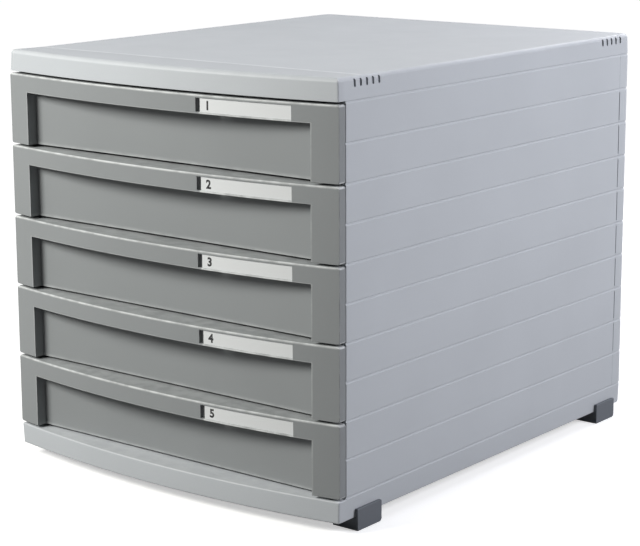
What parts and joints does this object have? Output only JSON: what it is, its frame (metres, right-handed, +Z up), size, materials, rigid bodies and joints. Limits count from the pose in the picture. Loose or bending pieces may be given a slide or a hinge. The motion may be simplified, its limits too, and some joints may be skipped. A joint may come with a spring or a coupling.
{
  "type": "desktop file drawer",
  "caption": "Desktop drawer box with bowed fronts, recessed grips and label pockets; closed drawers slide out of a grooved case on low feet.",
  "frame": {"origin": "centre of the object's bounding box, on the surface it stands on", "axes": "+Z up, +Y towards the back, drawers pull out towards -Y, +X to the right seen from the front"},
  "size_m": [0.279, 0.3524, 0.279],
  "materials": {
    "case_plastic": "light grey moulded polystyrene, fine satin grain",
    "front_plastic": "mid grey moulded polystyrene, satin",
    "tray_plastic": "mid grey moulded polystyrene, matt inside",
    "foot_rubber": "dark grey soft plastic, matt",
    "label_card": "white card, smooth"
  },
  "bodies": {
    "case": {"top_cover": "case_plastic", "base_plate": "case_plastic", "side_panel_left": "case_plastic", "side_panel_right": "case_plastic", "rear_cover": "case_plastic", "foot_front_left": "foot_rubber", "foot_front_right": "foot_rubber", "foot_rear_left": "foot_rubber", "foot_rear_right": "foot_rubber"},
    "drawer_1": {"drawer_tray_1": "tray_plastic", "drawer_front_1": "front_plastic", "label_card_1": "label_card"},
    "drawer_2": {"drawer_tray_2": "tray_plastic", "drawer_front_2": "front_plastic", "label_card_2": "label_card"},
    "drawer_3": {"drawer_tray_3": "tray_plastic", "drawer_front_3": "front_plastic", "label_card_3": "label_card"},
    "drawer_4": {"drawer_tray_4": "tray_plastic", "drawer_front_4": "front_plastic", "label_card_4": "label_card"},
    "drawer_5": {"drawer_tray_5": "tray_plastic", "drawer_front_5": "front_plastic", "label_card_5": "label_card"}
  },
  "joints": [
    {"name": "drawer_1_slide", "type": "slide", "parent": "case", "child": "drawer_1", "axis": [0, -1, 0], "range_m": [0, 0.25]},
    {"name": "drawer_2_slide", "type": "slide", "parent": "case", "child": "drawer_2", "axis": [0, -1, 0], "range_m": [0, 0.25]},
    {"name": "drawer_3_slide", "type": "slide", "parent": "case", "child": "drawer_3", "axis": [0, -1, 0], "range_m": [0, 0.25]},
    {"name": "drawer_4_slide", "type": "slide", "parent": "case", "child": "drawer_4", "axis": [0, -1, 0], "range_m": [0, 0.25]},
    {"name": "drawer_5_slide", "type": "slide", "parent": "case", "child": "drawer_5", "axis": [0, -1, 0], "range_m": [0, 0.25]}
  ]
}
